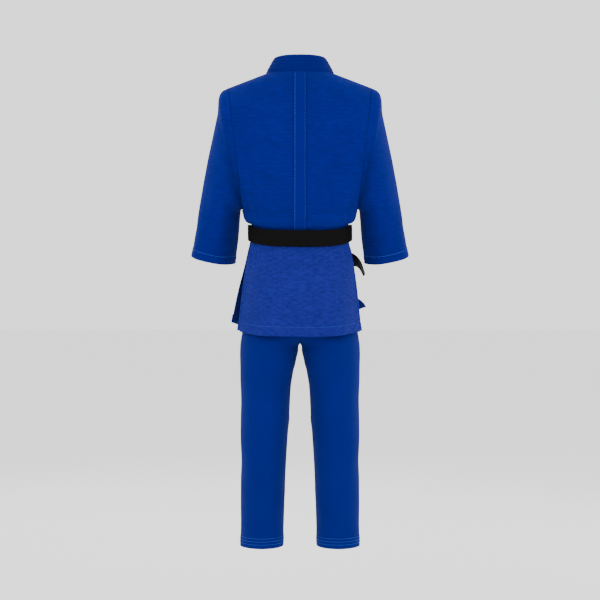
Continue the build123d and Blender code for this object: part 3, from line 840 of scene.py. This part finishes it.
def belt_grid(offset, slip):
    """One turn of the belt, its outer face `offset` off the cloth and moved up by `slip`."""
    angle = np.linspace(0, 2 * pi, 260)[None, :]
    share = np.linspace(-0.5, 0.5, 22)[:, None]
    crown = 0.5 * (1 - (2 * share) ** 4)
    width = BELT_HALF_WIDTH + offset + crown - 0.5
    depth = BELT_HALF_DEPTH + offset + crown - 0.5
    uneven = 0.6 * np.sin(5 * angle + 1) * share
    x = (width + uneven) * np.cos(angle)
    y = BELT_SHIFT + (depth + uneven) * np.sin(angle)
    z = belt_line(y) + share * BELT_WIDTH + slip + 0.8 * np.sin(2 * angle + 1)
    return np.stack(np.broadcast_arrays(x, y, z), axis=-1)


def make_belt():
    inner = cloth("belt_wrap_inner", belt_grid(BELT_CLOTH, -1.4), BELT_CLOTH, BELT)
    lay(inner, "jacket", ["belt_inner_wrap"])
    outer = cloth("belt_wrap_outer", belt_grid(2 * BELT_CLOTH + 0.4, 0.9), BELT_CLOTH, BELT)
    lay(outer, "jacket", ["belt_outer_wrap"])


def strap(name, stations, width=BELT_WIDTH, rows=60):
    """A piece of belt through (middle, direction of its width) stations."""
    middles = np.array([m for m, *_ in stations], float)
    acrosses = np.array([a for _, a, *_ in stations], float)
    widths = np.array([rest[0] if rest else width for _, _, *rest in stations], float)
    run = np.concatenate([[0], np.cumsum(np.linalg.norm(np.diff(middles, axis=0), axis=1))])
    at = np.linspace(0, run[-1], rows)
    middle = smooth(run, middles, at)
    across = smooth(run, acrosses, at)
    across /= np.linalg.norm(across, axis=1)[:, None]
    wide = smooth(run, widths, at)
    share = np.linspace(-0.5, 0.5, 22)
    points = middle[:, None] + across[:, None] * (share[None, :] * wide[:, None])[..., None]
    ahead = np.gradient(middle, axis=0)
    out = np.cross(ahead, across)
    out /= np.linalg.norm(out, axis=1)[:, None]
    if out[:, 1].mean() > 0:
        out = -out
    crown = 0.6 * (1 - (2 * share) ** 4)
    points = points + out[:, None] * (BELT_CLOTH / 2 - 0.6 + crown)[None, :, None]
    normal = np.cross(points[1, 1] - points[0, 1], points[0, 1] - points[0, 0])
    return cloth(name, points, BELT_CLOTH, BELT, flip=float(np.dot(normal, out[0])) > 0)


KNOT_FRONT_Y = -128.0


def make_knot():
    """The square knot: one end crosses under the wraps and over itself."""
    face = KNOT_FRONT_Y
    middle_z = BELT_FRONT_Z - 5
    loop = strap("knot_loop", [
        ((4, face + 6, middle_z + 26), (1, 0, 0.1), 40), ((3, face - 4, middle_z + 23), (1, 0, 0.1), 40),
        ((1, face - 12, middle_z + 12), (1, 0, 0.15), 38), ((-1, face - 14, middle_z - 2), (1, 0, 0.2), 38),
        ((-4, face - 12, middle_z - 14), (1, 0, 0.25), 38), ((-7, face - 3, middle_z - 23), (1, 0, 0.3), 40),
        ((-8, face + 6, middle_z - 24), (1, 0, 0.3), 40),
    ])
    lay(loop, "jacket", ["belt_knot"])
    cross = strap("knot_cross", [
        ((-27, face + 4, middle_z + 13), (0.45, 0, 1), 36),
        ((-22, face - 12, middle_z + 9), (0.45, 0, 1), 35),
        ((-6, face - 20, middle_z + 2), (0.42, 0, 1), 34),
        ((10, face - 20.5, middle_z - 5), (0.4, 0, 1), 34),
        ((22, face - 15, middle_z - 9), (0.4, 0, 1), 35), ((28, face - 3, middle_z - 11), (0.4, 0, 1), 36),
    ])
    lay(cross, "jacket")


def make_tails():
    left = strap("tail_left_strap", [
        ((20, -146, -474), (0.9, 0.05, 0.44)), ((33, -151, -494), (0.9, 0, 0.44)),
        ((56, -152, -545), (0.92, 0.02, 0.38)), ((80, -156, -620), (0.95, 0.05, 0.3)),
        ((97, -162, -705), (0.97, 0.02, 0.22)),
    ])
    lay(left, "tail_left", ["belt_tail_left"])
    right = strap("tail_right_strap", [
        ((-32, -147, -470), (0.6, 0.1, -0.8)), ((-50, -151, -487), (0.6, 0.05, -0.8)),
        ((-84, -149, -513), (0.58, 0.08, -0.8)), ((-140, -132, -532), (0.45, 0.3, -0.85)),
        ((-176, -112, -550), (0.2, 0.85, -0.4), 40), ((-191, -104, -582), (0.1, 0.97, -0.2), 34),
    ])
    lay(right, "tail_right", ["belt_tail_right"])


# ---- skirt --------------------------------------------------------------------------------------
def skirt_grid(offset, back, start_x=None, end_x=None, side=1, columns=170, flare=0.0, flare_from=0.1,
               flare_reach=0.35, lift=0.0, seed=51):
    """A skirt panel from its side slit, or x = start_x(z), to the other side or x = end_x(z)."""
    top = SKIRT[0][0]
    z = np.concatenate([np.linspace(top, top - 14, 8), np.linspace(top - 17, SKIRT[-1][0], 92)])[:, None]
    table = np.array(SKIRT, float)
    drop, width, depth = (smooth(table[:, 0], table[:, i], z) for i in (1, 2, 3))
    side_off, deep_off = offset
    wide = width + side_off
    slit = 0.012
    start = np.arccos(np.clip(start_x(z) / wide, -1, 1)) if start_x else slit + 0 * z
    end = np.arccos(np.clip(end_x(z) / wide, -1, 1)) if end_x else pi - slit + 0 * z
    angle = start + (end - start) * np.linspace(0, 1, columns)[None, :]
    fall = (SKIRT[0][0] - z) / (SKIRT[0][0] - SKIRT[-1][0])
    gathers = np.sin(23 * angle + seed) + 0.8 * np.sin(37 * angle + 2 * seed) + 0.5 * np.sin(61 * angle)
    fold = 1.1 * gathers * ease(0.09, 0.15, fall) * (1 - ease(0.15, 0.42, fall))
    slow = np.sin(6 * angle + seed) + 0.7 * np.sin(9.5 * angle - seed)
    fold = fold + 1.7 * slow * ease(0.1, 0.9, fall)
    fold = fold + 1.2 * wander(angle * 150, z, seed) * ease(0.05, 0.4, fall)
    away = np.minimum(angle, pi - angle)
    if back:
        # each side edge rolls in two soft vertical folds beside the slit
        roll = -4.0 * bump(0.16, 0.10, away) + 2.6 * bump(0.075, 0.07, away) + 2.0 * bump(0.27, 0.10, away)
        fold = fold + roll * ease(0.2, 0.6, fall)
    hem = ease(SKIRT[-1][0] + SKIRT_HEM + 1.5, SKIRT[-1][0] + SKIRT_HEM - 1.5, z)
    fold = fold + 0.8 * hem - 0.9 * bump(SKIRT[-1][0] + SKIRT_HEM, 5, z)
    fold = fold + 1.4 * np.sin(14 * angle + 1) * hem
    swing = flare * ease(flare_from, 1.0, fall) * (1 - ease(0, flare_reach, angle))
    x = (wide + fold + swing) * np.cos(angle)
    y = (depth + deep_off + fold) * np.sin(angle)
    height = z + 0 * angle
    if back:
        height = height + drop * np.sin(angle)
    height = height + 1.2 * np.sin(5 * angle + seed) * ease(0.8, 1.0, fall)
    height = height + lift * ease(0.25, 1.0, fall) * (1 - ease(0, 0.55, angle))
    points = np.stack(np.broadcast_arrays(x * side, y if back else -y, height), axis=-1)
    return points


def stitch_row(name, line, beside, body, lift=STITCH_LIFT):
    """Stitches along a line on a panel. beside points across that line, within the cloth."""
    normals = np.cross(np.gradient(line, axis=0), beside)
    if (normals * line * (1, 1, 0)).sum() < 0:
        normals = -normals
    unit = normals / np.linalg.norm(normals, axis=1)[:, None]
    seam = stitches(name, line + unit * lift, unit, FINE_STITCH_WIDTH)
    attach(seam, body)


def hem_row(name, points, share, body, lift=STITCH_LIFT):
    """Stitches across a panel's grid, at a share of its height."""
    row = int(round(share * (len(points) - 1)))
    beside = points[min(row + 1, len(points) - 1)] - points[row - 1]
    stitch_row(name, points[row], beside, body, lift)


def edge_row(name, points, column, rows, body):
    """Stitches down a panel's grid, beside its edge."""
    beside = points[rows, column + 1] - points[rows, column - 1]
    stitch_row(name, points[rows, column], beside, body)


def make_skirt():
    back = skirt_grid((0, 0), True)
    piece = cloth("skirt_back_cloth", back, SKIRT_CLOTH, QUILT, flip=True)
    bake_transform(piece)
    declare(["skirt_back"])
    hem_row("skirt_back_hem_row", back, SKIRT_HEM_ROW, "skirt_rear")
    for word, column in (("left", 4), ("right", -5)):
        edge_row(f"skirt_back_edge_{word}", back, column, slice(28, 99), "skirt_rear")

    right = skirt_grid((-7, 0), False, end_x=lapel_inner, side=-1, columns=140,
                       flare=19.0, flare_from=0.86, flare_reach=0.14, lift=66.0, seed=SKIRT_SEED)
    piece = cloth("skirt_front_right_cloth", right, SKIRT_CLOTH, QUILT, flip=True)
    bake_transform(piece)
    declare(["skirt_front_right"])

    outer = (LEFT_FRONT_OFFSET[0] + SKIRT_CLOTH, LEFT_FRONT_OFFSET[1] + SKIRT_CLOTH)
    left = skirt_grid(outer, False, end_x=lapel_inner, columns=140, flare=17.0, lift=22.0,
                      seed=SKIRT_SEED)
    piece = cloth("skirt_front_left_cloth", left, SKIRT_CLOTH, QUILT)
    lay(piece, "skirt_over", ["skirt_front_left"])
    hem_row("skirt_left_hem_row", left, SKIRT_HEM_ROW, "skirt_over")

    for word, offset, side, body in (
        ("right", RIGHT_LAPEL_OFFSET, -1, "skirt_under"), ("left", LEFT_LAPEL_OFFSET, 1, "skirt_over"),
    ):
        raised = (offset[0], offset[1] + SKIRT_BAND_LIFT)
        band = skirt_grid(raised, False, start_x=lapel_outer, end_x=lapel_inner, side=side, columns=26,
                          seed=SKIRT_SEED)
        piece = cloth(f"skirt_band_{word}", band, SKIRT_BAND_CLOTH, BAND, flip=side < 0)
        lay(piece, body, [f"skirt_lapel_{word}"])


# ---- trousers ---------------------------------------------------------------------------------------
def leg_grid(offset, top, end, rows, columns=150, side=1, arc=None, folds=True):
    """One half of the trousers: half the seat, opening into a closed leg below the crotch."""
    z = np.linspace(top, end, rows)[:, None]
    table = np.array(TROUSERS, float)
    middle, width, depth, reach = (smooth(table[:, 0], table[:, i], z) for i in (1, 2, 3, 4))
    middle = np.where(z > SEAT_END, 0, middle)
    reach = np.where(z > SEAT_END, 90, np.minimum(reach, 180))
    turn = np.linspace(-1, 1, columns)[None, :]
    angle = np.radians(reach) * turn
    if arc is not None:
        angle = np.radians(np.linspace(*arc, columns))[None, :] + 0 * z
    fold = np.zeros((rows, columns))
    if folds:
        leg = ease(CROTCH_Z + 60, CROTCH_Z - 60, z)
        fold = fold + leg * 1.5 * wander(np.degrees(angle) * 1.2, z, 71)
        fold = fold + leg * 1.3 * np.sin(2 * angle + z / 150) * ease(TROUSER_END, -1250, z)
        # slant creases from the crotch, soft breaks behind the knee, and one down the leg's middle
        for start_z, slope, deep in ((-800, 62, 2.6), (-842, 70, 2.2), (-890, 60, 1.6)):
            line = start_z + slope * (angle - pi / 2) / pi
            fold = fold - leg * deep * bump(0, 24, z - line) * (bump(pi, 2.8, np.abs(angle)))
        for start_z, deep, lean in ((-1052, 1.5, 18), (-1086, 1.8, -16), (-1130, 1.4, 14)):
            line = start_z + lean * (angle - pi / 2)
            fold = fold - deep * bump(0, 20, z - line) * bump(pi / 2, 1.9, angle)
        press = bump(pi / 2, 0.16, angle) + bump(-pi / 2, 0.16, angle)
        fold = fold + 0.9 * press * ease(-860, -1000, z)
        hem_top = TROUSER_END + TROUSER_HEM
        hem = ease(hem_top + 1.5, hem_top - 1.5, z)
        fold = fold + 0.7 * hem - 0.7 * bump(hem_top, 5, z)
    seam = 1 - ease(0.97, 1.0, np.abs(turn)) if arc is None else 1
    grow = offset + fold * seam
    x = middle + (width + grow) * np.cos(angle)
    x = np.where((z > CROTCH_Z) & (np.abs(turn) == 1) & (arc is None), 0, x)
    y = (depth + grow) * np.sin(angle)
    level = z + 0 * angle + ease(-1300, TROUSER_END, z) * 1.5 * np.sin(angle)
    return np.stack(np.broadcast_arrays(x * side, y, level), axis=-1)


def make_trousers():
    for word, side in (("left", 1), ("right", -1)):
        points = leg_grid(0, TROUSER_TOP, TROUSER_END, 330, side=side)
        leg = cloth(f"trouser_{word}_cloth", points, TROUSER_CLOTH, TWILL, flip=side > 0)
        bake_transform(leg)
        declare([f"seat_{word}", f"{word}_leg"])
        patch = leg_grid(KNEE_LIFT, KNEE_TOP, KNEE_END, 100, 60, side=side, arc=KNEE_ARC)
        knee = cloth(f"knee_{word}_cloth", patch, KNEE_CLOTH, TWILL, flip=side > 0)
        lay(knee, f"leg_{word}", [f"{word}_knee_patch"])
        inside = -TROUSER_CLOTH - 0.6
        hem = leg_grid(inside, TROUSER_END + TROUSER_HEM, TROUSER_END + 1, 10, side=side, folds=False)
        inner = cloth(f"hem_{word}_inside", hem, LINING_CLOTH, TWILL, flip=side > 0)
        lay(inner, f"leg_{word}", [f"{word}_leg_hem"])
        for number in range(TROUSER_HEM_ROWS):
            height = TROUSER_HEM - TROUSER_HEM_PITCH * number
            share = 1 - height / (TROUSER_TOP - TROUSER_END)
            hem_row(f"hem_{word}_row_{number}", points, share, f"leg_{word}",
                    TROUSER_STITCH_LIFT)
    angle = np.linspace(0, 2 * pi, 200)[None, :]
    z = np.linspace(WAISTBAND[0][0], WAISTBAND[1][0], 16)[:, None]
    heights, widths, depths = zip(*WAISTBAND)
    wide, deep = smooth(heights, widths, z), smooth(heights, depths, z)
    gathers = 0.8 + 0.8 * np.sin(60 * angle)
    points = np.stack(np.broadcast_arrays(
        (wide + 1.6 + gathers) * np.cos(angle), (deep + 1.6 + gathers) * np.sin(angle), z,
    ), axis=-1)
    band = cloth("waistband_cloth", points, WAISTBAND_CLOTH, TWILL, flip=True)
    lay(band, "trousers",
        ["waistband"])
    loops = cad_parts["drawcord_loops"]
    loops.data.materials.clear()
    loops.data.materials.append(TWILL)


# ---- studio --------------------------------------------------------------------------------------------
CAMERA_DISTANCE = 4.0
CAMERA_Z = -0.60
PICTURE_MIDDLE_Z = -0.655
PICTURE_HEIGHT = 1.74
FLOOR_Z = -1.80          # clear below the trousers when they are drawn down


def make_studio():
    """A pale floor, soft light all round, a key light high behind the camera, and the camera."""
    bpy.ops.mesh.primitive_plane_add(size=60, location=(0, 0, FLOOR_Z))
    floor = bpy.context.object
    floor.name = "floor"
    floor.data.materials.append(plain_material("floor_paper", FLOOR_COLOUR, 0.9))
    world = bpy.data.worlds.new("studio")
    world.use_nodes = True
    world.node_tree.nodes["Background"].inputs[0].default_value = (1, 1, 1, 1)
    world.node_tree.nodes["Background"].inputs[1].default_value = 1.7
    bpy.context.scene.world = world
    lights = [
        ("key", (1.6, 3.6, 1.6), 2.4, 60), ("fill", (-2.6, 2.6, 0.4), 2.4, 30),
        ("front", (1.2, -3.6, 1.4), 2.4, 55), ("front_fill", (-2.6, -2.4, 0.3), 2.4, 28),
    ]
    for name, place, size, power in lights:
        lamp = bpy.data.lights.new(name, "AREA")
        lamp.size = size
        lamp.energy = power
        item = bpy.data.objects.new(name, lamp)
        item.location = place
        aim = Vector((0, 0, -0.6)) - Vector(place)
        item.rotation_euler = aim.to_track_quat("-Z", "Y").to_euler()
        bpy.context.scene.collection.objects.link(item)
    camera = bpy.data.cameras.new("camera")
    camera.sensor_width = 36
    camera.lens = 36 * CAMERA_DISTANCE / PICTURE_HEIGHT
    camera.shift_y = (PICTURE_MIDDLE_Z - CAMERA_Z) / PICTURE_HEIGHT
    item = bpy.data.objects.new("camera", camera)
    item.location = (0, CAMERA_DISTANCE, CAMERA_Z)
    item.rotation_euler = (pi / 2, 0, pi)
    bpy.context.scene.collection.objects.link(item)
    bpy.context.scene.camera = item


make_studio()
make_back()
make_tape()
make_fronts()
make_collar()
make_linings()
make_sleeves()
make_belt()
make_knot()
make_tails()
make_skirt()
make_trousers()
